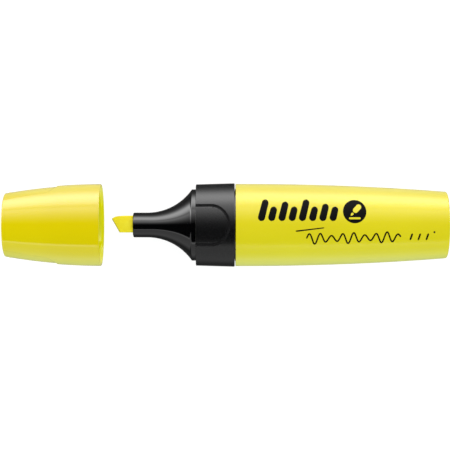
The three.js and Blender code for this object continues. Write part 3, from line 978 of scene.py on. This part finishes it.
def press_cap_recesses(bm, skin):
    """Sinks the grip recess into the outside of both narrow sides."""
    for vert in bm.verts:
        if under_cap_skin(vert.co) > skin:
            continue
        inset = tongue_inset(
            vert.co.x - CAP_RECESS_FRONT + CAP_RECESS_REACH,
            vert.co.z - AXIS_Z,
            CAP_RECESS_REACH,
            CAP_RECESS_HALF_WIDTH,
            CAP_RECESS_ROUND_END,
        )
        press = CAP_RECESS_DEPTH * smooth(0, 0.35 * MM, inset)
        vert.co.y -= math.copysign(press, vert.co.y)


def make_cap():
    end_radius = 0.55 * MM
    lip = 0.25 * MM
    lead_in = 0.9 * MM
    skin = 0.6 * MM
    end = cap_low.x + end_radius
    end_half_width = cap_half_width(end)
    outline = [
        (cap_low.x, 0),
        (cap_low.x, end_half_width * 0.5),
        *arc(end, end_half_width - end_radius, end_radius, 180, 100, 6),
        *[(x, cap_half_width(x)) for x in spaced(end, cap_high.x - lip, 90)],
        *arc(cap_high.x - lip, cap_high.y - lip, lip, 80, 0, 4),
        (cap_high.x, CAP_BORE + lead_in),
        (cap_high.x - lead_in, CAP_BORE),
        (cap_high.x - 2.4 * MM, CAP_BORE),
        *[(x, cap_half_width(x) - CAP_WALL) for x in spaced(cap_high.x - 3.2 * MM, CAP_FLOOR, 20)],
        (CAP_FLOOR, 0),
    ]
    bm = turned(outline, 360)
    lay_flat(bm)
    for face in bm.faces:
        middle = face.calc_center_median()
        if under_cap_skin(middle) > skin and middle.x > CAP_FLOOR - 0.1 * MM:
            face.material_index = 1
    press_cap_recesses(bm, skin)
    add_cap_socket(bm)
    shell = fluorescent_plastic("polished_yellow_polypropylene", "e4d000", "e9d600", 0.06)
    # The inner faces take this second material, whose emission is a painted glow.
    inside = fluorescent_plastic("yellow_polypropylene_painted_glow", "d2c800", "dad000", 0.2, 0.22)
    seat(to_piece("cap_moulding", bm, shell, inside), "cap", "cap_plastic", "cap_shell")


make_cap()

# ---- Studio: a pale glowing table under even light, with long soft panels beside the pen ------------------
# A broad bright panel stands along the +Y side and a weaker one along the -Y side. Straight above, the gloss
# has nothing to reflect, so the middle of every broad face stays deep in colour.

CAMERA_DISTANCE = 370 * MM
CAMERA_X = -0.2 * MM
VIEW_WIDTH = 147.5 * MM
TABLE_SIZE = 1.5
TABLE_GLOW = 0.88
BACKDROP_GLOW = 0.95


def make_floor():
    bm = bmesh.new()
    bmesh.ops.create_grid(bm, x_segments=1, y_segments=1, size=TABLE_SIZE)
    mesh = bpy.data.meshes.new("floor")
    bm.to_mesh(mesh)
    bm.free()
    material, _, shader = new_material("pale_table")
    shader.inputs["Base Color"].default_value = hex_color("808080")
    shader.inputs["Roughness"].default_value = 0.9
    shader.inputs["Emission Color"].default_value = (1, 1, 1, 1)
    shader.inputs["Emission Strength"].default_value = TABLE_GLOW
    mesh.materials.append(material)
    floor = bpy.data.objects.new("floor", mesh)
    bpy.context.scene.collection.objects.link(floor)
    floor.visible_glossy = False


def light_by_angle(tree, turn, levels):
    """A background whose light is set by the angle around the pen, in degrees from straight up."""
    brightest = max(max(level) for level in levels.values())
    ramp = node(tree, "ShaderNodeValToRGB", Fac=turn)
    stops = ramp.color_ramp.elements
    stops.remove(stops[1])
    for index, (degrees, level) in enumerate(levels.items()):
        position = (degrees + 180) / 360
        stop = stops[0] if index == 0 else stops.new(position)
        stop.position = position
        stop.color = (*[part / brightest for part in level], 1)
    return node(tree, "ShaderNodeBackground", Color=ramp.outputs["Color"], Strength=brightest)


def make_studio_light():
    """Even light for the colours, and long soft panels for what the gloss reflects.

    Each is a list of levels by direction: 0 degrees is straight up, and positive is towards +Y.
    """
    world = bpy.data.worlds.new("studio")
    bpy.context.scene.world = world
    world.use_nodes = True
    world.cycles.sampling_method = "NONE"
    tree = world.node_tree
    place = node(tree, "ShaderNodeTexCoord").outputs["Generated"]
    parts = node(tree, "ShaderNodeSeparateXYZ", Vector=place)
    angle = node(
        tree, "ShaderNodeMath", {"operation": "ARCTAN2"}, in0=parts.outputs["Y"], in1=parts.outputs["Z"]
    ).outputs["Value"]
    turn = node(
        tree, "ShaderNodeMapRange", Value=angle, From_Min=-math.pi, From_Max=math.pi
    ).outputs["Result"]
    panels = {
        -180: 0.10,
        -120: 0.12,
        -104: 0.45,
        -90: 0.90,
        -46: 0.85,
        -44.5: 1.9,
        -42: 1.9,
        -40: 0.0,
        3: 0.0,
        8: 0.20,
        13: 0.55,
        18: 1.0,
        23: 1.6,
        29: 2.5,
        34: 3.0,
        37: 2.3,
        40: 2.5,
        46: 4.8,
        55: 6.8,
        65: 7.2,
        74: 5.6,
        81: 3.3,
        90: 1.5,
        100: 0.55,
        120: 0.15,
        180: 0.10,
    }
    red = {-90: 0.10, -70: 0.30, -50: 0.57, -35: 0.76, -20: 0.96, -8: 1.12, 8: 1.30, 20: 1.28}
    red |= {35: 1.14, 50: 1.02, 70: 0.94, 90: 0.90}
    green = {-90: 0.50, -70: 0.66, -50: 0.86, -35: 0.90, -20: 0.88, -8: 0.97, 8: 1.13, 20: 1.15}
    green |= {35: 1.06, 50: 1.02, 70: 1.0, 90: 1.0}
    tent = light_by_angle(tree, turn, {at: (red[at], green[at], green[at]) for at in red})
    panel_light = light_by_angle(tree, turn, {at: (level,) * 3 for at, level in panels.items()})
    backdrop = node(tree, "ShaderNodeBackground", Color=(1, 1, 1, 1), Strength=BACKDROP_GLOW)
    ray = node(tree, "ShaderNodeLightPath")
    lights = node(
        tree,
        "ShaderNodeMixShader",
        in0=ray.outputs["Is Glossy Ray"],
        in1=tent.outputs["Background"],
        in2=panel_light.outputs["Background"],
    )
    both = node(
        tree,
        "ShaderNodeMixShader",
        in0=ray.outputs["Is Camera Ray"],
        in1=lights.outputs["Shader"],
        in2=backdrop.outputs["Background"],
    )
    tree.links.new(both.outputs["Shader"], tree.nodes["World Output"].inputs["Surface"])


def make_camera():
    camera = bpy.data.cameras.new("camera")
    camera.sensor_width = 36
    camera.lens = camera.sensor_width * CAMERA_DISTANCE / VIEW_WIDTH
    camera.clip_start = 0.01
    holder = bpy.data.objects.new("camera", camera)
    holder.location = (CAMERA_X, 0, AXIS_Z + CAMERA_DISTANCE)
    bpy.context.scene.collection.objects.link(holder)
    bpy.context.scene.camera = holder


make_floor()
make_studio_light()
make_camera()
bpy.context.scene.view_settings.view_transform = "Standard"
